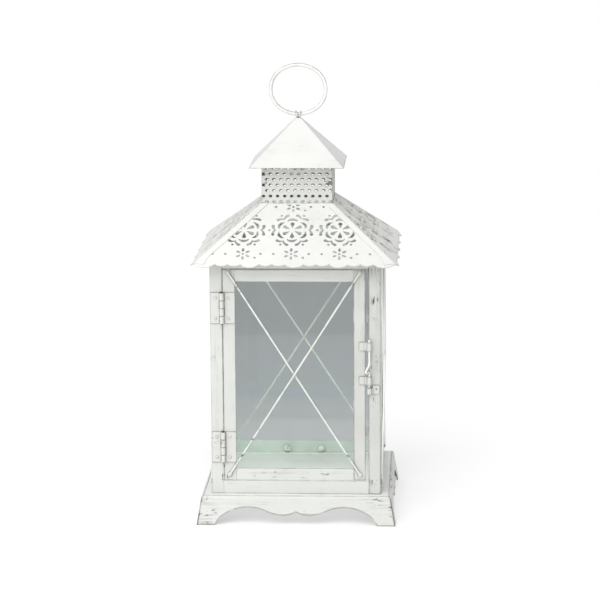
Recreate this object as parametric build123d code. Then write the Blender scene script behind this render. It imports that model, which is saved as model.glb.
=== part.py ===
from build123d import *
import math
import os

# Candle lantern of painted sheet iron: flared foot, glazed body with a hinged door,
# pierced roof, perforated chimney, pyramid cap and a loose hanging ring.
# Millimetres, +Z up, origin at the middle of the footprint, door facing -Y.

# ---- driving dimensions ----------------------------------------------------
CAP_APEX_Z = 368.3          # foot to cap tip, 14 1/2 in

SHEET = 1.0                 # frame and base sheet
THIN = 0.8                  # roof, chimney, cap and tab sheet
STANDOFF = 0.3              # knuckles and loops stand this far off the sheet
TOUCH = 0.1                 # gap left between pieces that only lie against each other

# base
BASE_FOOT_HALF = 91.5       # half width at the feet
BASE_DECK_HALF = 86.9       # half width where the apron's slope reaches the deck
BASE_H = 26.7
BASE_BEND = 2.6             # the sheet rolls over into the deck through this height
FOOT_INNER_X = 74.7         # inner corner of each bracket foot
KNEE = (70.5, 6.5)          # where the foot's straight edge meets the arch
ARCH_CROWN = (43.9, 16.4)
ARCH_LOBE = (11.6, 9.2)
ARCH_CUSP_Z = 12.2

# body
BODY_HALF = 77.7            # outer face of the posts
POST_W = 10.9
SILL_TOP = 39.1
HEADER_BOTTOM = 237.6
FRAME_TOP = 253.3
LEDGE = 7.0                 # inward flange of sills and headers

# roof
EAVE_HALF = 91.5
EAVE_Z = 244.1
ROOF_TOP_HALF = 32.6
ROOF_TOP_Z = 290.7
EAVE_GROUPS = (-60, -20, 20, 60)   # middle cusp of each scallop group
EAVE_CUSP_STEP = 11.5
EAVE_LOBE_SMALL = 2.1
EAVE_LOBE_LARGE = 4.0
HIP_STRIP_W = 5.6
HIP_STRIP_T = 0.5
HIP_STRIP_FLARE = 9.6       # the strip's spread foot at the eave
ROOF_TAB_X = 45.0

# pierced pattern of a roof panel
PATTERN_CELL = 43.7         # medallion to medallion
PATTERN_X = -3.1            # middle medallion, along the eave
PATTERN_S = 41.4            # medallions, up the slope
PATTERN_FLOWER_STEP = 29.0  # small flowers above and below them
PATTERN_TOP_EDGE = 2.0
PATTERN_LOW_EDGE = 1.5
DOT_R = 1.15

# chimney
CHIMNEY_HALF = 32.5
CHIMNEY_FOOT_Z = 285.0
CHIMNEY_TOP_Z = 328.0
VENT_HALF_W = 1.55
VENT_HALF_H = 1.2
VENT_PITCH_X = 6.5
VENT_PITCH_Z = 5.15
VENT_FIRST_Z = 292.0
VENT_ROWS = 7
VENT_COLUMNS = 10

# cap
CAP_EAVE_HALF = 43.5
CAP_EAVE_Z = 324.3
CAP_HOLE_R = 2.3            # hole at the tip for the eye
CAP_TIP = 0.05              # half width of the tip before the hole is cut
CAP_TAB_FOOT_Z = 316.0
CAP_TAB_HALF_W = 6.0

# panes
GLASS_T = 2.0
GLASS_HALF = 71.0
GLASS_TOP = 243.0
STOP_HEAD_R = 3.6
STOP_HEAD_H = 1.6
STOP_X = 16.6
STOP_FOOT = 3.4
GLASS_TAB_X = 42.0
TAB_HALF_W = 4.0
TAB_GRIP = 7.0              # how far a tab reaches over a pane

# crossed wires: half reach and levels of their ends
DOOR_WIRE_D = 2.0
DOOR_WIRE_HALVES = (60.0, 60.0)        # half spread at the lower and upper ends
DOOR_WIRE_ENDS_Z = (45.0, 234.0)
WINDOW_WIRE_D = 1.8
WINDOW_WIRE_HALVES = (69.0, 64.2)
WINDOW_WIRE_ENDS_Z = (36.5, 240.5)
WIRE_BEND_R = 60.0

# door
DOOR_HINGE_GAP = 0.9        # door edge to post, hinge side
DOOR_LATCH_GAP = 3.0        # door edge to post, latch side
DOOR_BOTTOM = 39.9
DOOR_TOP = 236.2
STILE_W = 10.8
RAIL_W = 10.7
DOOR_DEPTH = 5.0            # return flange round the door
DOOR_TABS_Z = (62.0, 138.0, 214.0)
CLOSING_STOPS_Z = (85.0, 191.0)

# hinges
HINGE_LENGTH = 28.8
HINGE_LEAF_T = 0.8
HINGE_REACH = {-1: 10.7, 1: 11.8}   # pin to leaf edge, over the post and over the door
HINGE_UPPER_Z = 201.0
HINGE_LOWER_Z = 70.9
KNUCKLES = 4
KNUCKLE_R = 1.95
KNUCKLE_GAP = 0.3
KNUCKLE_SLIT = 0.55         # slit between a knuckle and the other leaf
PIN_R = 1.0
PIN_HEAD_R = 1.5
PIN_HEAD_H = 0.7
PIN_STICKS_OUT = 0.5
PIN_LOOSE = 0.06
PIN_TIGHT = 0.01
RIVET_R = 1.5
RIVET_H = 0.9
RIVET_X = 5.9
RIVET_Z = 9.6

# latch
BOLT_R = 1.1
BOLT_X = 67.5
LOOP_R = 1.95               # rolled loops round the bolt
LOOP_CLEARANCE = 0.25
STRAP_REACH = 5.8           # plate on the door stile
STRAP_UPPER = (161.9, 169.7)
STRAP_LOWER = (130.2, 137.9)
KEEPER = (121.4, 129.7)
KEEPER_LOOP_H = 6.0
KEEPER_PLATE = (2.8, 9.4)   # bolt to the near and far edge of its plate
BOLT_LIFT = 2.8             # rest height above the dropped, locked position
BOLT_TIP_CLEAR = 0.4        # tip above the keeper's loop at rest
BOLT_TOP = 172.5
KINK_LEFT = 5.0
KINK_OUT = 5.0
KINK_LEG = 2.1              # from the kink's foot up to its lower leg
KINK_DROOP = 2.6            # how far that leg hangs down in front of the strap
KINK_RISE = 8.2

# hanging ring and its eye
EYE_MAJOR = 2.75
EYE_WIRE_R = 0.6
EYE_Z = 369.2
EYE_X = 1.35                # middle of each turn
EYE_LEAN = 20.0             # the two turns spread apart at the top
EYE_KNEE_Z = 356.0
EYE_SPLAY = (7.0, 348.5)
RING_WIRE_R = 1.65
RING_HALF_W = 25.5          # centre line of the wire
RING_HALF_H = 22.8
RING_SIDE_R = 21.6

# ---- worked out from them --------------------------------------------------
FACE_Y = -BODY_HALF
OPEN_HALF = BODY_HALF - POST_W
DOOR_X0 = -OPEN_HALF + DOOR_HINGE_GAP
DOOR_X1 = OPEN_HALF - DOOR_LATCH_GAP
DOOR_INNER_Y = FACE_Y + SHEET
PANE_OUTER_Y = FACE_Y + SHEET + TOUCH
PANE_INNER_Y = PANE_OUTER_Y + GLASS_T
GLASS_BOTTOM = BASE_H + SHEET + TOUCH
HINGE_X = -OPEN_HALF
HINGE_Y = FACE_Y - STANDOFF - KNUCKLE_R
BOLT_Y = FACE_Y - STANDOFF - LOOP_R
ROOF_RISE = ROOF_TOP_Z - EAVE_Z
ROOF_RUN = EAVE_HALF - ROOF_TOP_HALF
ROOF_ANGLE = math.degrees(math.atan2(ROOF_RISE, ROOF_RUN))
ROOF_SLANT = math.hypot(ROOF_RISE, ROOF_RUN)
CAP_SLOPE = (CAP_APEX_Z - CAP_EAVE_Z) / CAP_EAVE_HALF
ROOF_LEAN = math.radians(ROOF_ANGLE)
HIP_RUN = ROOF_RUN / ROOF_SLANT          # how far a hip moves in for each step up the slope
CAP_SHEET_RISE = THIN * math.hypot(1, CAP_SLOPE)
FAR = 120.0                              # past the lantern's edge, for cutting shapes

SIDES = {"front": 0, "right": 90, "back": 180, "left": 270}
CORNERS = {"front_left": 0, "front_right": 90, "back_right": 180, "back_left": 270}
FIXED_SIDES = ("right", "back", "left")
LOWEST = (Align.CENTER, Align.CENTER, Align.MIN)


# ---- helpers ---------------------------------------------------------------
def block(x0, x1, y0, y1, z0, z1):
    """Box between two corners."""
    return Pos((x0 + x1) / 2, (y0 + y1) / 2, (z0 + z1) / 2) * Box(abs(x1 - x0), abs(y1 - y0), abs(z1 - z0))


def around(angle, shape):
    """Turn a shape about the lantern's upright axis."""
    return Rot(0, 0, angle) * shape


def rod(points, radius, bend):
    """Round wire along straight runs joined by bends."""
    path = FilletPolyline(*points, radius=bend) if len(points) > 2 else Line(*points)
    start = Plane(origin=path @ 0, z_dir=path % 0)
    return sweep(start * Circle(radius), path=path)


def rivet(x, y, z, radius, height):
    """Domed rivet head whose flat lies on a face that looks towards -Y."""
    sphere_r = (radius ** 2 + height ** 2) / (2 * height)
    half_way = math.asin(radius / sphere_r) / 2
    shoulder = (sphere_r * math.sin(half_way), height - sphere_r * (1 - math.cos(half_way)))
    crown = ThreePointArc((radius, 0), shoulder, (0, height))
    profile = [Line((0, 0), (radius, 0)), crown, Line((0, height), (0, 0))]
    dome = revolve(Plane.XZ * make_face(profile), Axis.Z)
    return Pos(x, y, z) * Rot(90, 0, 0) * dome


def mitred(shape, low, high):
    """Keep the part of a front-side shape that lies within its own quarter of the plan."""
    quarter = make_face(Polyline((0, 0), (-FAR, -FAR), (FAR, -FAR), close=True))
    return shape & Pos(0, 0, low) * extrude(quarter, amount=high - low)


def group(shapes):
    """Separate solids that share one node."""
    return Compound(children=[solid for shape in shapes for solid in shape.solids()])


# ---- base ------------------------------------------------------------------
def apron_out(z):
    """How far out the apron's outer face is at a level."""
    return BASE_FOOT_HALF - (BASE_FOOT_HALF - BASE_DECK_HALF) * z / BASE_H


def base_deck():
    half = apron_out(BASE_H - BASE_BEND) - BASE_BEND
    return block(-half, half, -half, half, BASE_H - SHEET, BASE_H)


def apron_profile():
    """Front view of one apron: bracket feet, two arches and a middle cusp."""
    half = BASE_FOOT_HALF + STANDOFF
    swing = ((ARCH_CROWN[0] + ARCH_LOBE[0]) / 2, (ARCH_CROWN[1] + ARCH_LOBE[1]) / 2)
    half_edge = [
        Line((FOOT_INNER_X, 0), KNEE),
        TangentArc(ARCH_CROWN, KNEE, tangent=(1, 0)),
        TangentArc(ARCH_CROWN, swing, tangent=(-1, 0)),
        TangentArc(ARCH_LOBE, swing, tangent=(1, 0)),
        TangentArc(ARCH_LOBE, (0, ARCH_CUSP_Z), tangent=(-1, 0)),
        Line((FOOT_INNER_X, 0), (half, 0)),
        Line((half, 0), (half, BASE_H)),
    ]
    edges = half_edge + [edge.mirror(Plane.YZ) for edge in half_edge]
    return make_face(edges + [Line((-half, BASE_H), (half, BASE_H))])


def base_apron():
    """Front apron: a sloping sheet that rolls over into the deck, mitred into its neighbours."""
    bend_z = BASE_H - BASE_BEND
    outer, inner = apron_out(bend_z), apron_out(bend_z) - SHEET
    deck_edge = outer - BASE_BEND
    half_turn = math.radians(45)
    outer_mid = (-deck_edge - BASE_BEND * math.cos(half_turn), bend_z + BASE_BEND * math.sin(half_turn))
    inner_r = BASE_BEND - SHEET
    inner_mid = (-deck_edge - inner_r * math.cos(half_turn), bend_z + inner_r * math.sin(half_turn))
    section = [
        Line((-BASE_FOOT_HALF, 0), (-outer, bend_z)),
        ThreePointArc((-outer, bend_z), outer_mid, (-deck_edge, BASE_H)),
        Line((-deck_edge, BASE_H), (-deck_edge, BASE_H - SHEET)),
        ThreePointArc((-deck_edge, BASE_H - SHEET), inner_mid, (-inner, bend_z)),
        Line((-inner, bend_z), (-BASE_FOOT_HALF + SHEET, 0)),
        Line((-BASE_FOOT_HALF + SHEET, 0), (-BASE_FOOT_HALF, 0)),
    ]
    sheet = extrude(Plane.YZ * make_face(section), amount=BASE_FOOT_HALF, both=True)
    sheet = sheet & extrude(Plane.XZ * apron_profile(), amount=FAR)
    return mitred(sheet, 0, BASE_H)


# ---- body frame ------------------------------------------------------------
def corner_post():
    """Front-left post: an angle of two leaves."""
    edge = -BODY_HALF
    front = block(edge, edge + POST_W, edge, edge + SHEET, BASE_H, FRAME_TOP)
    side = block(edge, edge + SHEET, edge, edge + POST_W, BASE_H, FRAME_TOP)
    return front + side


def sill():
    web = block(-OPEN_HALF, OPEN_HALF, FACE_Y, FACE_Y + SHEET, BASE_H, SILL_TOP)
    ledge = block(-OPEN_HALF, OPEN_HALF, FACE_Y, FACE_Y + LEDGE, BASE_H, BASE_H + SHEET)
    return web + ledge


def header():
    web = block(-OPEN_HALF, OPEN_HALF, FACE_Y, FACE_Y + SHEET, HEADER_BOTTOM, FRAME_TOP)
    ledge = block(-OPEN_HALF, OPEN_HALF, FACE_Y, FACE_Y + LEDGE, FRAME_TOP - SHEET, FRAME_TOP)
    return web + ledge


def pane():
    """Fixed pane behind the frame, standing on the sill's flange."""
    return block(-GLASS_HALF, GLASS_HALF, PANE_OUTER_Y, PANE_INNER_Y, GLASS_BOTTOM, GLASS_TOP)


def glass_stops():
    """Two round-headed upright stops a side that keep each pane's foot against the sill."""
    ledge_z = BASE_H + SHEET
    y0 = PANE_INNER_Y + TOUCH
    middle_z = ledge_z + STOP_HEAD_R + TOUCH
    stops = []
    for side in FIXED_SIDES:
        for x in (-STOP_X, STOP_X):
            plate = Pos(x, y0 + THIN / 2, middle_z) * Rot(90, 0, 0) * Cylinder(STOP_HEAD_R, THIN)
            x0, x1 = x - STOP_HEAD_R / 2, x + STOP_HEAD_R / 2
            stem = block(x0, x1, y0, y0 + THIN, ledge_z, middle_z)
            foot = block(x0, x1, y0, y0 + STOP_FOOT, ledge_z, ledge_z + THIN)
            dome = Pos(x, y0 + THIN, middle_z) * Rot(0, 0, 180) * rivet(0, 0, 0, STOP_HEAD_R, STOP_HEAD_H)
            stops.append(around(SIDES[side], plate + stem + foot + dome))
    return group(stops)


def glass_tabs():
    """Bent tabs under each header that hold the pane's top edge from inside."""
    tabs = []
    y0 = PANE_INNER_Y + TOUCH
    low, top = GLASS_TOP - TAB_GRIP, FRAME_TOP - SHEET
    for side in FIXED_SIDES:
        for x in (-GLASS_TAB_X, GLASS_TAB_X):
            tongue = block(x - TAB_HALF_W, x + TAB_HALF_W, y0, y0 + THIN, low, top)
            tabs.append(around(SIDES[side], tongue))
    return group(tabs)


def crossed_wires(diameter, halves, ends_z, x_mid=0.0):
    """Two wires from corner to corner on a front face; the second rides over the first."""
    low, high = halves
    z0, z1 = ends_z
    cross_z = z0 + (z1 - z0) * low / (low + high)
    near = FACE_Y - diameter / 2
    over = near - diameter - TOUCH / 2
    under_pts = ((x_mid - high, near, z1), (x_mid + low, near, z0))
    over_pts = ((x_mid - low, near, z0), (x_mid, over, cross_z), (x_mid + high, near, z1))
    return rod(under_pts, diameter / 2, 0), rod(over_pts, diameter / 2, WIRE_BEND_R)


def window_wires(side):
    wires = crossed_wires(WINDOW_WIRE_D, WINDOW_WIRE_HALVES, WINDOW_WIRE_ENDS_Z)
    return group([around(SIDES[side], wire) for wire in wires])


# ---- door ------------------------------------------------------------------
def door_stile(x_outer, inward):
    """Upright of the door: flat face with a return flange along its outer edge."""
    face = block(x_outer, x_outer + inward * STILE_W, FACE_Y, DOOR_INNER_Y, DOOR_BOTTOM, DOOR_TOP)
    flange = block(x_outer, x_outer + inward * SHEET, FACE_Y, FACE_Y + DOOR_DEPTH, DOOR_BOTTOM, DOOR_TOP)
    return face + flange


def door_rail(z_outer, inward):
    x0, x1 = DOOR_X0 + STILE_W, DOOR_X1 - STILE_W
    face = block(x0, x1, FACE_Y, DOOR_INNER_Y, z_outer, z_outer + inward * RAIL_W)
    flange = block(x0, x1, FACE_Y, FACE_Y + DOOR_DEPTH, z_outer, z_outer + inward * SHEET)
    return face + flange


def door_glass():
    inset = SHEET + 1.0
    x0, x1 = DOOR_X0 + inset, DOOR_X1 - inset
    return block(x0, x1, PANE_OUTER_Y, PANE_INNER_Y, DOOR_BOTTOM + inset, DOOR_TOP - inset)


def door_glass_tabs():
    """Tabs bent in from the stile flanges over the back of the pane."""
    y0, y1 = PANE_INNER_Y + TOUCH, PANE_INNER_Y + TOUCH + THIN
    tabs = []
    for z in DOOR_TABS_Z:
        low, high = z - TAB_HALF_W, z + TAB_HALF_W
        tabs.append(block(DOOR_X0 + SHEET, DOOR_X0 + SHEET + TAB_GRIP, y0, y1, low, high))
        tabs.append(block(DOOR_X1 - SHEET - TAB_GRIP, DOOR_X1 - SHEET, y0, y1, low, high))
    return group(tabs)


def door_wires():
    return crossed_wires(DOOR_WIRE_D, DOOR_WIRE_HALVES, DOOR_WIRE_ENDS_Z, (DOOR_X0 + DOOR_X1) / 2)


def closing_stops():
    """Z-shaped tabs on the latch post that the closing door comes up against."""
    back_of_post = FACE_Y + SHEET
    stop_y = FACE_Y + DOOR_DEPTH + STANDOFF + TOUCH
    leg_x0, leg_x1 = OPEN_HALF + 2 * TOUCH, OPEN_HALF + SHEET
    stops = []
    for z in CLOSING_STOPS_Z:
        low, high = z - TAB_HALF_W, z + TAB_HALF_W
        foot = block(leg_x1, leg_x1 + 2 * TAB_HALF_W, back_of_post, back_of_post + THIN, low, high)
        leg = block(leg_x0, leg_x1, back_of_post, stop_y + THIN, low, high)
        tongue = block(DOOR_X1 - TAB_GRIP + SHEET, leg_x1, stop_y, stop_y + THIN, low, high)
        stops.append(foot + leg + tongue)
    return group(stops)


# ---- hinges ----------------------------------------------------------------
def knuckle_levels(middle_z):
    """Bottom and top of each knuckle, lowest first."""
    pitch = HINGE_LENGTH / KNUCKLES
    foot = middle_z - HINGE_LENGTH / 2
    half_gap = KNUCKLE_GAP / 2
    return [(foot + i * pitch + half_gap, foot + (i + 1) * pitch - half_gap) for i in range(KNUCKLES)]


def hinge_leaf(middle_z, direction, own_knuckles, bore):
    """Leaf on one side (direction -1 post, +1 door), rolled into its own knuckles."""
    z0, z1 = middle_z - HINGE_LENGTH / 2, middle_z + HINGE_LENGTH / 2
    inner = HINGE_X + direction * (KNUCKLE_R + KNUCKLE_SLIT)
    outer = HINGE_X + direction * HINGE_REACH[direction]
    leaf = block(inner, outer, FACE_Y - HINGE_LEAF_T, FACE_Y, z0, z1)
    for index in own_knuckles:
        low, high = knuckle_levels(middle_z)[index]
        leaf += block(HINGE_X, inner + direction, FACE_Y - HINGE_LEAF_T, FACE_Y - STANDOFF, low, high)
        leaf += Pos(HINGE_X, HINGE_Y, low) * Cylinder(KNUCKLE_R, high - low, align=LOWEST)
    return leaf - Pos(HINGE_X, HINGE_Y, z0 - SHEET) * Cylinder(bore, HINGE_LENGTH + 2 * SHEET, align=LOWEST)


def hinge_pin(middle_z):
    low = middle_z - HINGE_LENGTH / 2 - PIN_STICKS_OUT
    shaft_len = HINGE_LENGTH + 2 * PIN_STICKS_OUT
    shaft = Pos(HINGE_X, HINGE_Y, low) * Cylinder(PIN_R, shaft_len, align=LOWEST)
    head_z = middle_z + HINGE_LENGTH / 2 + TOUCH
    head = Pos(HINGE_X, HINGE_Y, head_z) * Cylinder(PIN_HEAD_R, PIN_HEAD_H, align=LOWEST)
    return shaft + head


def hinge_rivets(direction):
    x = HINGE_X + direction * RIVET_X
    y = FACE_Y - HINGE_LEAF_T
    heights = [middle + step for middle in (HINGE_UPPER_Z, HINGE_LOWER_Z) for step in (-RIVET_Z, RIVET_Z)]
    return group([rivet(x, y, z, RIVET_R, RIVET_H) for z in heights])


# ---- latch -----------------------------------------------------------------
def rolled_loop(z0, z1):
    """Loop of strap rolled round the bolt."""
    return Pos(BOLT_X, BOLT_Y, z0) * Cylinder(LOOP_R, z1 - z0, align=LOWEST)


def bolt_bore(z0, z1):
    height = z1 - z0 + 2 * SHEET
    return Pos(BOLT_X, BOLT_Y, z0 - SHEET) * Cylinder(BOLT_R + LOOP_CLEARANCE, height, align=LOWEST)


def latch_strap(z0, z1):
    """Strap on the door stile whose end is rolled round the bolt."""
    plate = block(DOOR_X1 - STRAP_REACH, DOOR_X1, FACE_Y - THIN, FACE_Y, z0, z1)
    neck = block(DOOR_X1 - SHEET, BOLT_X, FACE_Y - STANDOFF - THIN, FACE_Y - STANDOFF, z0, z1)
    return plate + neck + rolled_loop(z0, z1) - bolt_bore(z0, z1)


def latch_keeper():
    """Loop on the latch post that the dropped bolt enters."""
    z0, z1 = KEEPER
    near, far = KEEPER_PLATE
    plate = block(BOLT_X + near, BOLT_X + far, FACE_Y - THIN, FACE_Y, z0, z1)
    loop_top = z0 + KEEPER_LOOP_H
    neck = block(BOLT_X, BOLT_X + near + SHEET, FACE_Y - STANDOFF - THIN, FACE_Y - STANDOFF, z0, loop_top)
    return plate + neck + rolled_loop(z0, loop_top) - bolt_bore(z0, loop_top)


def latch_bolt():
    """Sliding wire with a finger kink between the two straps, shown lifted clear of the keeper."""
    tip = KEEPER[0] + KEEPER_LOOP_H + BOLT_TIP_CLEAR
    kink_foot = STRAP_LOWER[1] + BOLT_LIFT
    route = [
        (BOLT_X, BOLT_Y, tip),
        (BOLT_X, BOLT_Y, kink_foot + KINK_LEG),
        (BOLT_X - KINK_LEFT, BOLT_Y - KINK_OUT, kink_foot + KINK_LEG - KINK_DROOP),
        (BOLT_X, BOLT_Y, kink_foot + KINK_RISE),
        (BOLT_X, BOLT_Y, BOLT_TOP),
    ]
    return rod(route, BOLT_R, (1.25, 1.25, 3.0))


# ---- roof ------------------------------------------------------------------
def teardrop(point_r, ball_r, radius):
    """Petal with its point towards the origin and its round end outwards along +X."""
    reach = ball_r - point_r
    lean = math.acos(radius / reach)
    tx = ball_r - radius * math.cos(lean)
    ty = radius * math.sin(lean)
    edges = [Line((point_r, 0), (tx, ty)), ThreePointArc((tx, ty), (ball_r + radius, 0), (tx, -ty)),
             Line((tx, -ty), (point_r, 0))]
    return make_face(edges)


def crescent():
    """Crescent cupping a petal's tip, along +X."""
    horn = (10.7, 4.8)
    outer = ThreePointArc(horn, (14.6, 0), (horn[0], -horn[1]))
    inner = ThreePointArc(horn, (11.9, 0), (horn[0], -horn[1]))
    return make_face([outer, inner])


def brace():
    """Curly brace along +X with its cusp towards the origin and a round lobe at each end."""
    cusp_in, cusp_out = (14.4, 0), (16.2, 0)
    lobe_out, lobe_in = (19.0, 4.6), (16.1, 5.2)
    half = [
        ThreePointArc(cusp_out, (18.1, 2.0), lobe_out),
        ThreePointArc(lobe_out, (17.9, 6.6), lobe_in),
        ThreePointArc(lobe_in, (16.2, 2.3), cusp_in),
    ]
    return make_face(half + [edge.mirror(Plane.XZ) for edge in half])


def medallion():
    """Rosette of petals, crescents, braces and dots about the origin."""
    pieces = []
    for step in range(6):
        petal_turn, brace_turn = Rot(0, 0, 30 + 60 * step), Rot(0, 0, 60 * step)
        pieces.append(petal_turn * teardrop(2.2, 7.9, 1.9))
        pieces.append(petal_turn * crescent())
        pieces.append(brace_turn * brace())
        if step % 3:
            pieces.append(brace_turn * Pos(20.4, 0) * Circle(DOT_R))
    return pieces


def small_flower():
    """Six short petals round a dot."""
    petal = Pos(4.9, 0) * Ellipse(2.1, 1.1)
    return [Circle(DOT_R)] + [Rot(0, 0, 30 + 60 * step) * petal for step in range(6)]


def whole_pattern():
    """Every cut-out of the repeating pattern, before it is trimmed to a panel."""
    pieces = []
    for column in range(-2, 3):
        x = PATTERN_X + PATTERN_CELL * column
        pieces += [Pos(x, PATTERN_S) * piece for piece in medallion()]
        pieces.append(Pos(x + PATTERN_CELL / 2 + 1, PATTERN_S) * Circle(DOT_R))
        for side in (-1, 1):
            s = PATTERN_S + side * PATTERN_FLOWER_STEP
            pieces += [Pos(x, s) * piece for piece in small_flower()]
            pieces += [Pos(x + dx, s + ds) * Circle(DOT_R) for dx, ds in ((-16, 0), (16, 0), (10.8, -4.5))]
    return pieces


def roof_pattern():
    """Cut-outs of one panel, with X along the eave and Y up the slope, clear of its edges."""
    strip_w = HIP_STRIP_W / math.sin(math.atan2(ROOF_SLANT, ROOF_RUN))
    keep_edge = strip_w - THIN
    low, top = PATTERN_LOW_EDGE, ROOF_SLANT - PATTERN_TOP_EDGE
    half_low = EAVE_HALF - keep_edge - low * HIP_RUN
    half_top = EAVE_HALF - keep_edge - top * HIP_RUN
    corners = ((-half_low, low), (half_low, low), (half_top, top), (-half_top, top))
    field = make_face(Polyline(*corners, close=True))
    smallest = 0.4
    kept = []
    for piece in whole_pattern():
        box = piece.bounding_box()
        reach = max(abs(box.min.X), abs(box.max.X))
        if box.max.Y < top and reach < EAVE_HALF - keep_edge - box.max.Y * HIP_RUN:
            kept.append(piece)
            continue
        part = piece & field
        if part is not None and part.area > smallest:
            kept.append(part)
    return kept


def eave_outline():
    """Panel outline: three cusps and two shallow lobes a group, with deep lobes between groups."""
    steps = (-EAVE_CUSP_STEP, 0, EAVE_CUSP_STEP)
    cusps = [-EAVE_HALF] + [middle + step for middle in EAVE_GROUPS for step in steps] + [EAVE_HALF]
    edges = []
    for xa, xb in zip(cusps, cusps[1:]):
        depth = EAVE_LOBE_SMALL if xb - xa < EAVE_CUSP_STEP + TOUCH else EAVE_LOBE_LARGE
        edges.append(ThreePointArc((xa, 0), ((xa + xb) / 2, -depth), (xb, 0)))
    top_right, top_left = (ROOF_TOP_HALF, ROOF_SLANT), (-ROOF_TOP_HALF, ROOF_SLANT)
    edges += [Line((EAVE_HALF, 0), top_right), Line(top_right, top_left), Line(top_left, (-EAVE_HALF, 0))]
    return make_face(edges)


def roof_plane():
    """Plane of the front panel's outer face, X along the eave, Y up the slope."""
    upward = (0, -math.sin(ROOF_LEAN), math.cos(ROOF_LEAN))
    return Plane(origin=(0, -EAVE_HALF, EAVE_Z), x_dir=(1, 0, 0), z_dir=upward)


def roof_panel():
    """Scalloped, pierced front panel, mitred at the hips and open under the chimney."""
    sheet = extrude(roof_plane() * eave_outline(), amount=-THIN)
    sheet = mitred(sheet, EAVE_Z - FAR / 2, EAVE_Z + FAR / 2)
    sheet -= block(-CHIMNEY_HALF, CHIMNEY_HALF, -ROOF_TOP_HALF, 0, EAVE_Z, ROOF_TOP_Z + SHEET)
    cutters = [extrude(roof_plane() * piece, amount=2 * THIN, both=True) for piece in roof_pattern()]
    return sheet.cut(*[solid for cutter in cutters for solid in cutter.solids()])


def hip_strips():
    """Folded strips that cover the four hips, lying on the front and back panels."""
    width = HIP_STRIP_W / math.sin(math.atan2(ROOF_SLANT, ROOF_RUN))
    low, neck, high = 0.4, 7.0, ROOF_SLANT - 0.6
    flare_drop = 1.6

    def hip_x(s):
        return EAVE_HALF - s * HIP_RUN

    along_hip = ((hip_x(low), low), (hip_x(high), high))
    inner_edge = ((hip_x(high) - width, high), (hip_x(neck) - width, neck))
    foot = (hip_x(low) - HIP_STRIP_FLARE, low - flare_drop)
    outline = make_face(Polyline(*along_hip, *inner_edge, foot, close=True))
    strip = extrude(roof_plane() * outline, amount=HIP_STRIP_T)
    both = (strip, strip.mirror(Plane.YZ))
    return group([around(SIDES[side], shape) for shape in both for side in ("front", "back")])


def roof_tabs():
    """Angle tabs that fix the panels' undersides to the headers' top flanges."""
    y0, y1 = FACE_Y + 1.5, FACE_Y + LEDGE - 0.5
    drop = THIN / math.cos(ROOF_LEAN) + TOUCH / 2
    roof0, roof1 = [EAVE_Z + (EAVE_HALF + y) * math.tan(ROOF_LEAN) - drop for y in (y0, y1)]
    section = Polyline((y0, FRAME_TOP), (y1, FRAME_TOP), (y1, roof1), (y0, roof0), close=True)
    tab = extrude(Plane.YZ * make_face(section), amount=TAB_HALF_W, both=True)
    pair = [Pos(x, 0, 0) * tab for x in (-ROOF_TAB_X, ROOF_TAB_X)]
    return group([around(angle, shape) for angle in SIDES.values() for shape in pair])


# ---- chimney and cap -------------------------------------------------------
def chimney_wall(half):
    """Perforated wall on the front side; each row of vents is half a pitch from its neighbours."""
    y = -CHIMNEY_HALF
    wall = block(-half, half, y, y + THIN, CHIMNEY_FOOT_Z, CHIMNEY_TOP_Z)
    vent = extrude(Plane.XZ * Ellipse(VENT_HALF_W, VENT_HALF_H), amount=THIN, both=True)
    vents = []
    for row in range(VENT_ROWS):
        z = VENT_FIRST_Z + row * VENT_PITCH_Z
        shift = VENT_PITCH_X / 4 * (-1 if row % 2 else 1)
        for column in range(VENT_COLUMNS):
            x = (column - (VENT_COLUMNS - 1) / 2) * VENT_PITCH_X + shift
            vents.append(Pos(x, y + THIN / 2, z) * vent)
    return wall - vents


def cap():
    """Hollow cap of four mitred flat sides, with a hole at its tip for the eye's legs."""
    def pyramid(drop):
        apex = CAP_APEX_Z - drop
        half = (apex - CAP_EAVE_Z) / CAP_SLOPE
        low = Pos(0, 0, CAP_EAVE_Z) * Rectangle(2 * half, 2 * half)
        high = Pos(0, 0, apex - CAP_TIP * CAP_SLOPE) * Rectangle(2 * CAP_TIP, 2 * CAP_TIP)
        return loft([low, high])

    shell = pyramid(0) - pyramid(CAP_SHEET_RISE)
    hole_foot = CAP_APEX_Z - 3 * CAP_HOLE_R
    pierced = shell - Pos(0, 0, hole_foot) * Cylinder(CAP_HOLE_R, 4 * CAP_HOLE_R, align=LOWEST)
    front = mitred(pierced, CAP_EAVE_Z, CAP_APEX_Z)
    return group([around(angle, front) for angle in SIDES.values()])


def cap_tabs():
    """Tabs from the chimney's inside up to the cap's underside."""
    under = CAP_APEX_Z - CAP_SHEET_RISE - TOUCH / 2
    inner = CHIMNEY_HALF - THIN
    y0, y1 = -inner, -inner + THIN
    top0, top1 = under - CAP_SLOPE * inner, under - CAP_SLOPE * (inner - THIN)
    section = Polyline((y0, CAP_TAB_FOOT_Z), (y1, CAP_TAB_FOOT_Z), (y1, top1), (y0, top0), close=True)
    tab = extrude(Plane.YZ * make_face(section), amount=CAP_TAB_HALF_W, both=True)
    return group([around(angle, tab) for angle in SIDES.values()])


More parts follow.
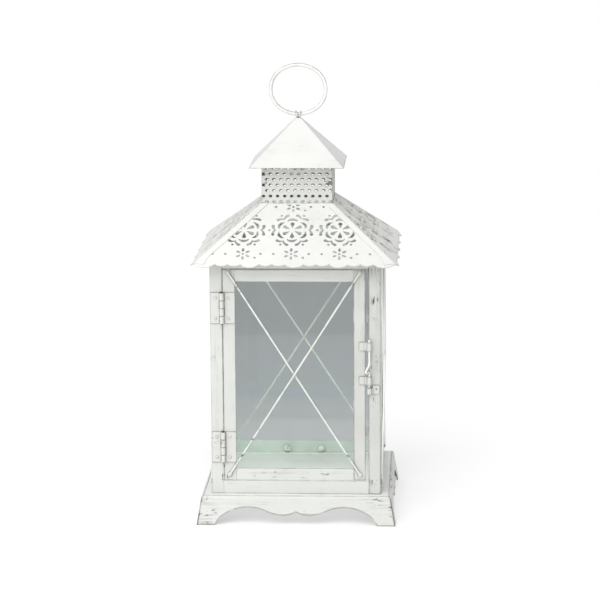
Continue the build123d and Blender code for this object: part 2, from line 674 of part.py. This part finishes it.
# ---- hanging ring ----------------------------------------------------------
def ring_eye():
    """Two spread turns of wire whose legs pass through the cap's tip and splay beneath it."""
    lean = math.radians(EYE_LEAN)
    splay_x, splay_z = EYE_SPLAY
    eye = None
    for side in (-1, 1):
        upright = Rot(0, 90, 0) * Torus(EYE_MAJOR, EYE_WIRE_R)
        turn = Pos(side * EYE_X, 0, EYE_Z) * Rot(0, side * EYE_LEAN, 0) * upright
        foot_x = side * (EYE_X - EYE_MAJOR * math.sin(lean))
        foot_z = EYE_Z - EYE_MAJOR * math.cos(lean)
        route = ((foot_x, 0, foot_z), (foot_x, 0, EYE_KNEE_Z), (side * splay_x, 0, splay_z))
        leg = rod(route, EYE_WIRE_R, 4)
        pair = turn + leg
        eye = pair if eye is None else eye + pair
    return eye


def hang_ring():
    """Slightly oval ring of four arcs, standing up from the eye."""
    a, b, side_r = RING_HALF_W, RING_HALF_H, RING_SIDE_R
    top_r = ((a - side_r) ** 2 + b ** 2 - side_r ** 2) / (2 * (b - side_r))
    centre_z = EYE_Z + b
    dx, dz = a - side_r, top_r - b
    scale = side_r / math.hypot(dx, dz)
    joint_x, joint_z = dx + dx * scale, dz * scale
    corner = {(sx, sz): (sx * joint_x, 0, centre_z + sz * joint_z) for sx in (-1, 1) for sz in (-1, 1)}
    arcs = [
        ThreePointArc(corner[1, -1], (a, 0, centre_z), corner[1, 1]),
        ThreePointArc(corner[1, 1], (0, 0, centre_z + b), corner[-1, 1]),
        ThreePointArc(corner[-1, 1], (-a, 0, centre_z), corner[-1, -1]),
        ThreePointArc(corner[-1, -1], (0, 0, centre_z - b), corner[1, -1]),
    ]
    ring = None
    for arc in arcs:
        piece = sweep(Plane(origin=arc @ 0, z_dir=arc % 0) * Circle(RING_WIRE_R), path=arc)
        ring = piece if ring is None else ring + piece
    return ring


# ---- the whole lantern -----------------------------------------------------
def build():
    parts = {"base_deck": base_deck()}
    for name, angle in SIDES.items():
        parts["base_apron_" + name] = around(angle, base_apron())
        parts["sill_" + name] = around(angle, sill())
        parts["header_" + name] = around(angle, header())
        parts["roof_panel_" + name] = around(angle, roof_panel())
        full = name in ("front", "back")
        half = CHIMNEY_HALF if full else CHIMNEY_HALF - THIN
        parts["chimney_wall_" + name] = around(angle, chimney_wall(half))
    for name, angle in CORNERS.items():
        parts["post_" + name] = around(angle, corner_post())
    for name in FIXED_SIDES:
        parts["glass_" + name] = around(SIDES[name], pane())
        parts["window_wires_" + name] = window_wires(name)
    parts["glass_stops"] = glass_stops()
    parts["glass_tabs"] = glass_tabs()

    parts["door_stile_hinge"] = door_stile(DOOR_X0, 1)
    parts["door_stile_latch"] = door_stile(DOOR_X1, -1)
    parts["door_rail_top"] = door_rail(DOOR_TOP, -1)
    parts["door_rail_bottom"] = door_rail(DOOR_BOTTOM, 1)
    parts["door_glass"] = door_glass()
    parts["door_glass_tabs"] = door_glass_tabs()
    parts["door_wire_under"], parts["door_wire_over"] = door_wires()
    parts["closing_stops"] = closing_stops()

    bore_loose, bore_tight = PIN_R + PIN_LOOSE, PIN_R + PIN_TIGHT
    for name, middle_z in (("upper", HINGE_UPPER_Z), ("lower", HINGE_LOWER_Z)):
        parts[f"hinge_{name}_post_leaf"] = hinge_leaf(middle_z, -1, (1, 3), bore_tight)
        parts[f"hinge_{name}_door_leaf"] = hinge_leaf(middle_z, 1, (0, 2), bore_loose)
        parts[f"hinge_{name}_pin"] = hinge_pin(middle_z)
    parts["hinge_rivets_post"] = hinge_rivets(-1)
    parts["hinge_rivets_door"] = hinge_rivets(1)

    parts["latch_strap_upper"] = latch_strap(*STRAP_UPPER)
    parts["latch_strap_lower"] = latch_strap(*STRAP_LOWER)
    parts["latch_keeper"] = latch_keeper()
    parts["latch_bolt"] = latch_bolt()

    parts["roof_hip_strips"] = hip_strips()
    parts["roof_tabs"] = roof_tabs()
    parts["chimney_cap"] = cap()
    parts["cap_tabs"] = cap_tabs()
    parts["ring_eye"] = ring_eye()
    parts["hang_ring"] = hang_ring()
    return parts


os.makedirs("parts", exist_ok=True)
for node, shape in build().items():
    export_step(shape, f"parts/{node}.step")
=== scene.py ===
import math

import bmesh
import bpy
from mathutils import Matrix, Vector, noise


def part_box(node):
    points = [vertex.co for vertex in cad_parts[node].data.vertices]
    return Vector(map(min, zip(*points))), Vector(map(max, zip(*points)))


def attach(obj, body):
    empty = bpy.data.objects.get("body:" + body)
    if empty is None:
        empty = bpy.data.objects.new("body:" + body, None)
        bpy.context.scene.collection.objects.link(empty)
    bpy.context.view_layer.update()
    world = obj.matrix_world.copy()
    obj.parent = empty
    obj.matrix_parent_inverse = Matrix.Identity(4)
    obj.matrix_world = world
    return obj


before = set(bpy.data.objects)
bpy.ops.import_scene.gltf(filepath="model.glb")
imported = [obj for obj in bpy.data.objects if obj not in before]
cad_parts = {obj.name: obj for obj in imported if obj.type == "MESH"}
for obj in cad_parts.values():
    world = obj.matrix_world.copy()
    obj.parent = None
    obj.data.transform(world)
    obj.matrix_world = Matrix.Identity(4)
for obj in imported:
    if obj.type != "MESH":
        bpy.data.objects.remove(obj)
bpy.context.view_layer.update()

MM = 0.001

# ---- camera: nearly head-on from a little right of and above the lantern -----------------
CAMERA_AT = Vector((0.1258, -2.4078, 0.6592))
CAMERA_YAW = math.radians(2.98)
CAMERA_PITCH = math.radians(10.93)
CAMERA_ROLL = math.radians(-0.37)
LENS = 156.9                # millimetres on a 36 mm sensor

# ---- paint colours, linear ----------------------------------------------------------------
BODY_PAINT = (0.575, 0.585, 0.555)
# Painted light: the inside paint is much whiter than the frame's, so the lantern's inside looks as well
# lit as its outside
INNER_PAINT_WITH_PAINTED_LIGHT = (0.76, 0.775, 0.76)
# Painted light: the back rail's paint is whiter still and greenish, as if lit through the green glass
RAIL_PAINT_WITH_PAINTED_LIGHT = (0.80, 0.84, 0.82)
BASE_PAINT = (0.615, 0.625, 0.60)
WORN_PAINT = (0.535, 0.545, 0.515)
WIRE_PAINT = (0.80, 0.80, 0.775)
DOOR_WIRE_PAINT = (0.72, 0.73, 0.705)
ROOF_PAINT = (0.74, 0.74, 0.72)
CHALK = (0.655, 0.66, 0.64)
GREY_RUB = (0.40, 0.415, 0.39)
PAINTED_SHADE = (0.21, 0.225, 0.20)
# Painted shade colour, for corners, creases, gaps between parts and the sides of wires
PRIMER = (0.17, 0.175, 0.165)
BARE_IRON = (0.035, 0.033, 0.032)
RUST = (0.16, 0.075, 0.028)
BROWN = (0.14, 0.105, 0.075)
# Soot inside the chimney, and painted shade inside the base's aprons
SOOT_AND_SHADE = (0.10, 0.115, 0.105)
PANE_TINT = (0.86, 0.895, 0.87)
PANE_CLEAR = (0.94, 0.97, 0.95)     # what lamps and bounced light see of a pane

# ---- noise scales, features to a metre -----------------------------------------------------
CLOUDS = 18
PATCHES = 75
FINE = 1100


# ---- node helpers --------------------------------------------------------------------------
class Nodes:
    """Short names for building one material's node tree."""

    def __init__(self, name):
        self.material = bpy.data.materials.new(name)
        self.material.use_nodes = True
        self.tree = self.material.node_tree
        self.tree.nodes.clear()
        self.out = self.add("ShaderNodeOutputMaterial")
        place = self.add("ShaderNodeTexCoord")
        self.object_point = place.outputs["Object"]
        self.object_normal = place.outputs["Normal"]

    def add(self, kind, **settings):
        node = self.tree.nodes.new(kind)
        for key, value in settings.items():
            setattr(node, key, value)
        return node

    def put(self, socket, value):
        """Link a node's output to a socket, or set the socket to a constant."""
        if isinstance(value, bpy.types.NodeSocket):
            self.tree.links.new(value, socket)
        elif isinstance(value, tuple) and socket.type == "RGBA":
            socket.default_value = (*value, 1.0)
        else:
            socket.default_value = value

    def coords(self, scale=(1, 1, 1)):
        mapping = self.add("ShaderNodeMapping")
        mapping.inputs["Scale"].default_value = scale
        self.put(mapping.inputs["Vector"], self.object_point)
        return mapping.outputs["Vector"]

    def noise(self, vector, scale, detail=3.0, rough=0.55, distort=0.0):
        node = self.add("ShaderNodeTexNoise")
        self.put(node.inputs["Vector"], vector)
        node.inputs["Scale"].default_value = scale
        node.inputs["Detail"].default_value = detail
        node.inputs["Roughness"].default_value = rough
        node.inputs["Distortion"].default_value = distort
        return node.outputs["Fac"]

    def span(self, value, low, high, to_low=0.0, to_high=1.0):
        node = self.add("ShaderNodeMapRange", interpolation_type="SMOOTHSTEP")
        self.put(node.inputs["Value"], value)
        node.inputs["From Min"].default_value = low
        node.inputs["From Max"].default_value = high
        node.inputs["To Min"].default_value = to_low
        node.inputs["To Max"].default_value = to_high
        return node.outputs["Result"]

    def math(self, operation, a, b=0.0):
        node = self.add("ShaderNodeMath", operation=operation)
        self.put(node.inputs[0], a)
        self.put(node.inputs[1], b)
        return node.outputs[0]

    def times(self, *values):
        result = values[0]
        for value in values[1:]:
            result = self.math("MULTIPLY", result, value)
        return result

    def most(self, *values):
        result = values[0]
        for value in values[1:]:
            result = self.math("MAXIMUM", result, value)
        return result

    def mix(self, factor, a, b):
        node = self.add("ShaderNodeMix", data_type="RGBA")
        self.put(node.inputs["Factor"], factor)
        self.put(node.inputs["A"], a)
        self.put(node.inputs["B"], b)
        return node.outputs["Result"]

    def part(self, vector, axis):
        split = self.add("ShaderNodeSeparateXYZ")
        self.put(split.inputs[0], vector)
        return split.outputs[axis]

    def near(self, centre, radius):
        """1 at a point of the lantern, in millimetres, falling to 0 at the radius."""
        node = self.add("ShaderNodeVectorMath", operation="DISTANCE")
        self.put(node.inputs[0], self.object_point)
        node.inputs[1].default_value = [c * MM for c in centre]
        return self.span(node.outputs["Value"], 0.25 * radius * MM, radius * MM, 1.0, 0.0)

    def edge(self, radius):
        """High near sharp edges of the mesh, from the rounded normal against the true one."""
        bevel = self.add("ShaderNodeBevel", samples=6)
        bevel.inputs["Radius"].default_value = radius
        geometry = self.add("ShaderNodeNewGeometry")
        dot = self.add("ShaderNodeVectorMath", operation="DOT_PRODUCT")
        self.put(dot.inputs[0], bevel.outputs["Normal"])
        self.put(dot.inputs[1], geometry.outputs["Normal"])
        return self.math("SUBTRACT", 1.0, dot.outputs["Value"])

    def crevice(self, distance):
        """High in corners and along the foot of anything that stands on the surface."""
        node = self.add("ShaderNodeAmbientOcclusion", samples=8)
        node.inputs["Distance"].default_value = distance
        return self.math("SUBTRACT", 1.0, node.outputs["AO"])

    def bump(self, height, strength, distance):
        node = self.add("ShaderNodeBump")
        node.inputs["Strength"].default_value = strength
        node.inputs["Distance"].default_value = distance
        self.put(node.inputs["Height"], height)
        return node.outputs["Normal"]

    def surface(self, color, roughness, normal=None, **constants):
        shader = self.add("ShaderNodeBsdfPrincipled")
        self.put(shader.inputs["Base Color"], color)
        self.put(shader.inputs["Roughness"], roughness)
        if normal is not None:
            self.put(shader.inputs["Normal"], normal)
        for key, value in constants.items():
            shader.inputs[key.replace("_", " ")].default_value = value
        self.put(self.out.inputs["Surface"], shader.outputs["BSDF"])
        return shader.outputs["BSDF"]


def distressed_paint(name, white, grain, streak, rub, chip, crease_shade, line, worn_spots=(),
                     crease_shade_color=PAINTED_SHADE, flank_axis=None, soot_and_shade_inside=False, rim_width=1.1):
    """Dry-brushed chalky paint over grey primer and dark iron.

    grain is the streaks' scale along each axis. From 0 to 1: streak is how strong the brush marks
    are, rub how grey the edges are, chip how bare the worn places are, crease_shade how dark the
    painted shade in corners and creases is, and line how brown the very edges are, within about
    rim_width millimetres. worn_spots are (centre, radius) in millimetres where the paint is chipped
    through. flank_axis is the way a wire faces: its sides get dirt and painted shade. Where
    soot_and_shade_inside, what faces the lantern's upright axis is painted dark, for soot and as
    painted shade.
    """
    n = Nodes(name)
    at = n.coords()
    clouds = n.noise(at, CLOUDS, 3)
    patches = n.noise(at, PATCHES, 3, 0.6)
    streaks = n.noise(n.coords(grain), 1.0, 5, 0.62, 0.3)
    hairs = n.noise(n.coords(tuple(2.6 * g for g in grain)), 1.0, 3, 0.6, 0.2)
    fine = n.noise(at, FINE, 3)
    specks = n.noise(n.coords(tuple(max(g, PATCHES) for g in grain)), 1.1, 4, 0.68, 0.2)

    worn = n.span(clouds, 0.50, 0.72)
    for centre, radius in worn_spots:
        worn = n.most(worn, n.near(centre, radius))

    color = n.mix(n.span(clouds, 0.35, 0.7, 0.0, 0.5), white, CHALK)
    streak_mask = n.times(n.span(streaks, 0.50, 0.66), n.span(patches, 0.38, 0.66, 0.3, 1.0))
    streak_mask = n.times(streak_mask, n.span(worn, 0.0, 1.0, 0.35 * streak, 0.85 * streak))
    color = n.mix(streak_mask, color, GREY_RUB)
    scratch = n.times(n.span(hairs, 0.56, 0.66), n.span(patches, 0.46, 0.60),
                      n.span(worn, 0.0, 1.0, 0.15, 1.0))
    color = n.mix(n.times(scratch, 0.8 * streak), color, PRIMER)

    # Painted shade: grey-green darkening in corners, creases and gaps between parts, found by ambient
    # occlusion and made patchy by noise
    crevice = n.span(n.crevice(1.6 * MM), 0.12, 0.46)
    crevice = n.times(crevice, n.span(patches, 0.30, 0.62, 0.5 * crease_shade, crease_shade))
    color = n.mix(crevice, color, crease_shade_color)

    edge = n.span(n.edge(rim_width * MM), 0.02, 0.20)
    rubbed = n.times(edge, n.span(patches, 0.34, 0.60, 0.15, 1.0))
    color = n.mix(n.times(rubbed, 0.8 * rub), color, GREY_RUB)
    rim = n.times(n.span(edge, 0.35, 0.9), n.span(patches, 0.34, 0.50, 0.35, 1.0))
    color = n.mix(n.times(rim, line), color, BROWN)
    # Soot and painted shade: faces turned towards the upright axis, inside the aprons and the chimney, are
    # darkened
    if soot_and_shade_inside:
        outward = n.add("ShaderNodeVectorMath", operation="DOT_PRODUCT")
        n.put(outward.inputs[0], n.object_normal)
        n.put(outward.inputs[1], n.coords((1, 1, 0)))
        color = n.mix(n.span(outward.outputs["Value"], -20 * MM, -5 * MM, 0.9, 0.0), color, SOOT_AND_SHADE)
    # Dirt and painted shade on a wire's sides: darker where the surface turns away from flank_axis
    if flank_axis:
        facing = n.math("ABSOLUTE", n.part(n.object_normal, flank_axis))
        flank = n.times(n.span(facing, 0.40, 0.80, 1.0, 0.0), n.span(patches, 0.38, 0.56, 0.30, 1.0))
        color = n.mix(flank, color, PAINTED_SHADE)
    edge_chips = n.times(edge, n.span(specks, 0.48, 0.58), n.span(patches, 0.40, 0.54),
                         n.span(worn, 0, 0.6, 0.45, 1))
    spot_chips = n.times(n.span(specks, 0.57, 0.63), n.span(patches, 0.46, 0.58), n.span(worn, 0.25, 0.8))
    chips = n.most(n.times(edge_chips, rub), n.times(spot_chips, chip))
    color = n.mix(n.span(chips, 0.12, 0.40, 0.0, 0.9), color, PRIMER)
    color = n.mix(n.span(chips, 0.40, 0.70), color, BARE_IRON)

    height = n.math("ADD", n.times(streaks, 0.8), n.times(fine, 0.25))
    height = n.math("SUBTRACT", height, n.times(chips, 1.2))
    normal = n.bump(height, 0.40, 0.25 * MM)
    n.surface(color, n.span(streaks, 0.3, 0.75, 0.48, 0.66), normal, IOR=1.46)
    return n.material


def window_glass(name, tint):
    """Thin faintly green sheet with a little dust. Lamps and bounced light pass it undimmed."""
    n = Nodes(name)
    at = n.coords()
    dust = n.noise(at, 26, 5, 0.6)
    color = n.mix(n.span(dust, 0.40, 0.75, 0.0, 0.10), tint, CHALK)
    wave = n.bump(n.noise(at, 14, 2), 0.10, 0.3 * MM)
    seen = n.surface(color, n.span(dust, 0.45, 0.85, 0.0, 0.05), wave, IOR=1.50, Transmission_Weight=1.0)
    clear = n.add("ShaderNodeBsdfTransparent")
    clear.inputs["Color"].default_value = (*PANE_CLEAR, 1.0)
    path = n.add("ShaderNodeLightPath")
    for kind in ("Is Diffuse Ray", "Is Shadow Ray"):
        either = n.add("ShaderNodeMixShader")
        n.put(either.inputs["Fac"], path.outputs[kind])
        n.put(either.inputs[1], seen)
        n.put(either.inputs[2], clear.outputs["BSDF"])
        seen = either.outputs["Shader"]
    n.put(n.out.inputs["Surface"], seen)
    return n.material


def worn_pin():
    """Brown hinge pin, rubbed dark at its ends."""
    n = Nodes("worn_pin")
    blotch = n.noise(n.coords(), 700, 4, 0.7)
    color = n.mix(n.span(blotch, 0.38, 0.60), BARE_IRON, RUST)
    n.surface(color, n.span(blotch, 0.3, 0.7, 0.38, 0.75), n.bump(blotch, 0.4, 0.2 * MM), Metallic=0.4)
    return n.material


# ---- finishes: grain along each axis, and worn spots as (centre, radius) in millimetres ----
UPRIGHT = (520, 520, 16)
ACROSS = (16, 16, 480)
EVEN = (220, 220, 220)
ROOF_SIDE = (60, 300, 60)
LATCH_SPOTS = (((76, -78, 236), 34), ((78, -78, 200), 24), ((78, -79, 150), 16), ((76, -79, 116), 14))
BASE_SPOTS = (((-88, -90, 8), 24), ((91, -90, 14), 11), ((92, -60, 10), 20), ((-88, -86, 26), 14),
              ((66, -87, 26), 13))
RAIL_SPOTS = (((-5, -78, 45), 26), ((-35, -78, 46), 12))
ROOF_SPOTS = (((75, -20, 265), 60), ((70, 60, 262), 50))
CHIMNEY_SPOTS = (((32, -33, 310), 14), ((-32, -33, 310), 10))
KEEPER_SPOT = (((70, -79, 124), 10),)
WIRE_SPOTS = (((-45, -80, 70), 60), ((-50, -80, 215), 45), ((58, -80, 52), 30), ((56, -80, 226), 35))
MATERIALS = {
    "base": distressed_paint("paint_base", BASE_PAINT, ACROSS, streak=1.0, rub=0.7, chip=1.0, crease_shade=0.8,
                             line=1.0, worn_spots=BASE_SPOTS, soot_and_shade_inside=True, rim_width=2.6),
    "post": distressed_paint("paint_post", BODY_PAINT, UPRIGHT, streak=0.8, rub=0.6, chip=0.8, crease_shade=0.8,
                             line=0.6),
    "post_worn": distressed_paint("paint_post_worn", WORN_PAINT, UPRIGHT, streak=1.0, rub=1.0, chip=0.7,
                                  crease_shade=0.8, line=1.0, worn_spots=LATCH_SPOTS, rim_width=2.2),
    "bar": distressed_paint("paint_bar", BASE_PAINT, ACROSS, streak=0.8, rub=0.6, chip=0.5, crease_shade=0.8,
                            line=0.4, worn_spots=RAIL_SPOTS),
    "sill": distressed_paint("paint_sill", BASE_PAINT, ACROSS, streak=0.4, rub=0.5, chip=0.15, crease_shade=0.7,
                             line=0.3),
    "back_rail_with_painted_light": distressed_paint("paint_back_rail", RAIL_PAINT_WITH_PAINTED_LIGHT, ACROSS, streak=0.2, rub=0.3, chip=0.2,
                                  crease_shade=0.15, line=0.2),
    "inner_with_painted_light": distressed_paint("paint_inner", INNER_PAINT_WITH_PAINTED_LIGHT, ACROSS, streak=0.2, rub=0.3, chip=0.3, crease_shade=0.5,
                              line=0.2),
    "roof": distressed_paint("paint_roof", ROOF_PAINT, (60, 240, 240), streak=0.25, rub=0.4, chip=0.15,
                             crease_shade=0.15, line=0.3),
    "roof_left": distressed_paint("paint_roof_left", ROOF_PAINT, ROOF_SIDE, streak=0.9, rub=0.7, chip=0.6,
                                  crease_shade=0.5, line=0.6),
    "roof_worn": distressed_paint("paint_roof_worn", ROOF_PAINT, ROOF_SIDE, streak=1.0, rub=1.0, chip=1.0,
                                  crease_shade=0.7, line=0.9, worn_spots=ROOF_SPOTS),
    "cap": distressed_paint("paint_cap", ROOF_PAINT, (60, 200, 200), streak=0.4, rub=1.0, chip=0.2,
                            crease_shade=0.3, line=1.0),
    "chimney": distressed_paint("paint_chimney", BODY_PAINT, (90, 90, 160), streak=0.8, rub=0.9, chip=0.5,
                                crease_shade=0.8, line=0.9, worn_spots=CHIMNEY_SPOTS, soot_and_shade_inside=True),
    "wire": distressed_paint("paint_wire", WIRE_PAINT, (160, 160, 160), streak=0.8, rub=1.0, chip=1.0,
                             crease_shade=0.5, line=0.5, flank_axis="Y"),
    "door_wire": distressed_paint("paint_door_wire", DOOR_WIRE_PAINT, (200, 200, 200), streak=1.0, rub=1.0,
                                  chip=1.0, crease_shade=0.5, line=0.7, worn_spots=WIRE_SPOTS, flank_axis="Y"),
    "window_wire": distressed_paint("paint_window_wire", WIRE_PAINT, (160, 160, 160), streak=0.4, rub=0.3,
                                    chip=0.5, crease_shade=0.3, line=0.2),
    "iron": distressed_paint("paint_fittings", BODY_PAINT, EVEN, streak=0.7, rub=0.7, chip=0.5, crease_shade=1.0,
                             line=1.0, worn_spots=KEEPER_SPOT),
    # The hinge's painted shade in its slits is brown, for the rust there as well
    "hinge": distressed_paint("paint_hinge", BODY_PAINT, EVEN, streak=0.5, rub=0.6, chip=0.4, crease_shade=1.0,
                              line=0.8, crease_shade_color=BROWN),
    "glass": window_glass("pane_glass", PANE_TINT),
    "pin": worn_pin(),
}


def material_for(node):
    """Finish of one CAD node, by its name."""
    if node in ("door_glass", "glass_back", "glass_left", "glass_right"):
        return "glass"
    if node.endswith("_pin"):
        return "pin"
    if node == "sill_back":
        return "back_rail_with_painted_light"
    if node in ("base_deck", "closing_stops"):
        return "inner_with_painted_light"
    if node.startswith("base_"):
        return "base"
    if node == "roof_panel_right":
        return "roof_worn"
    if node == "roof_panel_left":
        return "roof_left"
    if node.startswith(("roof_panel", "roof_hip")):
        return "roof"
    if node == "chimney_cap":
        return "cap"
    if node.startswith("chimney_wall"):
        return "chimney"
    if node.startswith("hinge_"):
        return "hinge"
    if node.startswith("door_wire"):
        return "door_wire"
    if node.startswith("window_wires"):
        return "window_wire"
    if node in ("hang_ring", "ring_eye", "latch_bolt"):
        return "wire"
    if node in ("post_front_right", "post_back_right", "door_stile_latch"):
        return "post_worn"
    if node.startswith(("post_", "door_stile")):
        return "post"
    if node.startswith("sill_"):
        return "sill"
    if node.startswith(("header_", "door_rail")):
        return "bar"
    return "iron"


for name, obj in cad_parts.items():
    obj.data.materials.clear()
    obj.data.materials.append(MATERIALS[material_for(name)])


# ---- solder, drawn over the CAD nodes ------------------------------------------------------
WIRE_TIP = 1.6 * MM         # length of wire taken as its end
BEAD_DEPTH = 1.15 * MM      # radii of a bead: off the frame, along it and up it
BEAD_WIDTH = 1.9 * MM
BEAD_HEIGHT = 2.3 * MM
EYE_BEAD = (2.5 * MM, 2.2 * MM, 1.3 * MM)
EYE_BEAD_DROP = 2.0 * MM    # below the cap's tip


def solder_bead(name, at, radii, body):
    """Lump of painted solder: a drop whose surface is pulled about unevenly."""
    mesh = bpy.data.meshes.new(name)
    drop = bmesh.new()
    bmesh.ops.create_icosphere(drop, subdivisions=4, radius=1.0)
    for vert in drop.verts:
        way = vert.co.normalized()
        pull = 1 + 0.22 * noise.noise(2.1 * way + 900 * Vector(at))
        pull += 0.07 * noise.noise(6 * way + 700 * Vector(at))
        vert.co = Vector(at) + Vector(pull * w * r for w, r in zip(way, radii))
    for face in drop.faces:
        face.smooth = True
    drop.to_mesh(mesh)
    drop.free()
    mesh.materials.append(MATERIALS["iron"])
    obj = bpy.data.objects.new(name, mesh)
    bpy.context.scene.collection.objects.link(obj)
    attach(obj, body)


def wire_ends(nodes):
    """Middle of each of the four ends of a pair of crossed wires."""
    points = [v.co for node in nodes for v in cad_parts[node].data.vertices]
    middle = sum(points, Vector()) / len(points)
    across = 0 if abs(middle.x) < abs(middle.y) else 1
    for level in (min, max):
        end_z = level(p.z for p in points)
        for side in (-1, 1):
            tip = [p for p in points if abs(p.z - end_z) < WIRE_TIP and side * (p - middle)[across] > 0]
            yield sum(tip, Vector()) / len(tip), across


def solder_wires(label, nodes, body):
    """Bead at each end of a pair of crossed wires, flattened against the frame."""
    for number, (end, across) in enumerate(wire_ends(nodes)):
        radii = [BEAD_WIDTH, BEAD_WIDTH, BEAD_HEIGHT]
        radii[1 - across] = BEAD_DEPTH
        solder_bead(f"solder_{label}_{number}", end, radii, body)


solder_wires("door", ("door_wire_under", "door_wire_over"), "door")
for side in ("back", "left", "right"):
    solder_wires(side, (f"window_wires_{side}",), "lantern")
eye_low, eye_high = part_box("ring_eye")
cap_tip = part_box("chimney_cap")[1][2]
eye_foot = ((eye_low[0] + eye_high[0]) / 2, (eye_low[1] + eye_high[1]) / 2, cap_tip - EYE_BEAD_DROP)
solder_bead("solder_eye", eye_foot, EYE_BEAD, "lantern")


# ---- floor, light and camera ---------------------------------------------------------------
FLOOR_HALF = 8.0
FLOOR_GLOW = 0.42           # keeps the shadows on the floor pale
SWEEP_Z = (-0.245, -0.180)  # upward part of a ray's direction at the sweep's foot and top
SWEEP_TONES = (
    (0.00, (0.57, 0.565, 0.60)),
    (0.29, (0.515, 0.515, 0.55)),
    (0.31, (0.45, 0.475, 0.545)),
    (0.34, (0.465, 0.475, 0.505)),
    (0.64, (0.44, 0.44, 0.475)),
    (0.66, (0.39, 0.39, 0.42)),
    (1.00, (0.37, 0.37, 0.40)),
)


def studio_floor():
    """Pale paper under the lantern, not seen through glass."""
    mesh = bpy.data.meshes.new("floor")
    half = FLOOR_HALF
    corners = [(-half, -half, 0), (half, -half, 0), (half, half, 0), (-half, half, 0)]
    mesh.from_pydata(corners, [], [(0, 1, 2, 3)])
    obj = bpy.data.objects.new("floor", mesh)
    bpy.context.scene.collection.objects.link(obj)
    n = Nodes("floor_paper")
    tone = n.noise(n.coords(), 3, 2)
    glow = {"Emission Color": (1.0, 1.0, 1.0, 1.0), "Emission Strength": FLOOR_GLOW}
    n.surface(n.mix(tone, (0.55, 0.55, 0.55), (0.57, 0.57, 0.57)), 0.9, **glow)
    mesh.materials.append(n.material)
    obj.visible_transmission = False


def soft_box(name, at, size, power, target):
    """Lit panel facing a target; only what it lights is seen."""
    light = bpy.data.lights.new(name, "AREA")
    light.shape = "RECTANGLE"
    light.size, light.size_y = size
    light.energy = power
    obj = bpy.data.objects.new(name, light)
    obj.location = at
    obj.rotation_euler = (Vector(target) - Vector(at)).to_track_quat("-Z", "Y").to_euler()
    obj.visible_camera = False
    obj.visible_glossy = False
    obj.visible_transmission = False
    bpy.context.scene.collection.objects.link(obj)


def soft_sun(name, towards, strength, spread):
    """Distant soft source; towards points from the lantern to it, spread is in degrees."""
    light = bpy.data.lights.new(name, "SUN")
    light.energy = strength
    light.angle = math.radians(spread)
    obj = bpy.data.objects.new(name, light)
    obj.rotation_euler = Vector(towards).to_track_quat("Z", "Y").to_euler()
    bpy.context.scene.collection.objects.link(obj)


def sky(strength):
    """Even white studio light, with white paper behind.

    Through glass a pale grey sweep is seen instead, darker towards its top.
    """
    world = bpy.data.worlds.new("studio")
    world.use_nodes = True
    bpy.context.scene.world = world
    tree = world.node_tree
    light = tree.nodes["Background"]
    light.inputs["Color"].default_value = (1.0, 1.0, 1.0, 1.0)
    light.inputs["Strength"].default_value = strength
    split = tree.nodes.new("ShaderNodeSeparateXYZ")
    ramp = tree.nodes.new("ShaderNodeValToRGB")
    rise = tree.nodes.new("ShaderNodeMapRange")
    sweep = tree.nodes.new("ShaderNodeBackground")
    path = tree.nodes.new("ShaderNodeLightPath")
    seen = tree.nodes.new("ShaderNodeMixShader")
    both = tree.nodes.new("ShaderNodeMixShader")
    paper = tree.nodes.new("ShaderNodeBackground")
    paper.inputs["Color"].default_value = (1.0, 1.0, 1.0, 1.0)
    tree.links.new(tree.nodes.new("ShaderNodeTexCoord").outputs["Generated"], split.inputs[0])
    tree.links.new(split.outputs["Z"], rise.inputs["Value"])
    rise.inputs["From Min"].default_value, rise.inputs["From Max"].default_value = SWEEP_Z
    tree.links.new(rise.outputs["Result"], ramp.inputs["Fac"])
    stops = ramp.color_ramp.elements
    stops[0].color, stops[1].color = (*SWEEP_TONES[0][1], 1.0), (*SWEEP_TONES[-1][1], 1.0)
    for position, tone in SWEEP_TONES[1:-1]:
        stops.new(position).color = (*tone, 1.0)
    tree.links.new(ramp.outputs["Color"], sweep.inputs["Color"])
    tree.links.new(path.outputs["Is Transmission Ray"], both.inputs["Fac"])
    tree.links.new(path.outputs["Is Camera Ray"], seen.inputs["Fac"])
    tree.links.new(light.outputs["Background"], seen.inputs[1])
    tree.links.new(paper.outputs["Background"], seen.inputs[2])
    tree.links.new(seen.outputs["Shader"], both.inputs[1])
    tree.links.new(sweep.outputs["Background"], both.inputs[2])
    tree.links.new(both.outputs["Shader"], tree.nodes["World Output"].inputs["Surface"])


def add_camera():
    """Long lens at CAMERA_AT, turned by yaw and pitch and then rolled about its own axis."""
    data = bpy.data.cameras.new("camera")
    data.lens = LENS
    data.clip_end = 60
    obj = bpy.data.objects.new("camera", data)
    flat = math.cos(CAMERA_PITCH)
    ahead = Vector((-math.sin(CAMERA_YAW) * flat, math.cos(CAMERA_YAW) * flat, -math.sin(CAMERA_PITCH)))
    right = Vector((math.cos(CAMERA_YAW), math.sin(CAMERA_YAW), 0))
    up = right.cross(ahead)
    side = right * math.cos(CAMERA_ROLL) + up * math.sin(CAMERA_ROLL)
    top = up * math.cos(CAMERA_ROLL) - right * math.sin(CAMERA_ROLL)
    basis = Matrix((side, top, -ahead)).transposed().to_4x4()
    basis.translation = CAMERA_AT
    obj.matrix_world = basis
    bpy.context.scene.collection.objects.link(obj)
    bpy.context.scene.camera = obj


studio_floor()
soft_sun("overhead_front", (-0.10, -0.60, 0.79), 1.7, 45)
soft_box("front_left", (-0.45, -0.46, 0.30), (0.40, 0.40), 1.1, (0.0, -0.078, 0.14))
soft_box("inside_fill", (0.0, -0.062, 0.115), (0.12, 0.14), 0.10, (0.0, 0.072, 0.090))
sky(0.62)
add_camera()
bpy.context.scene.view_settings.view_transform = "Standard"
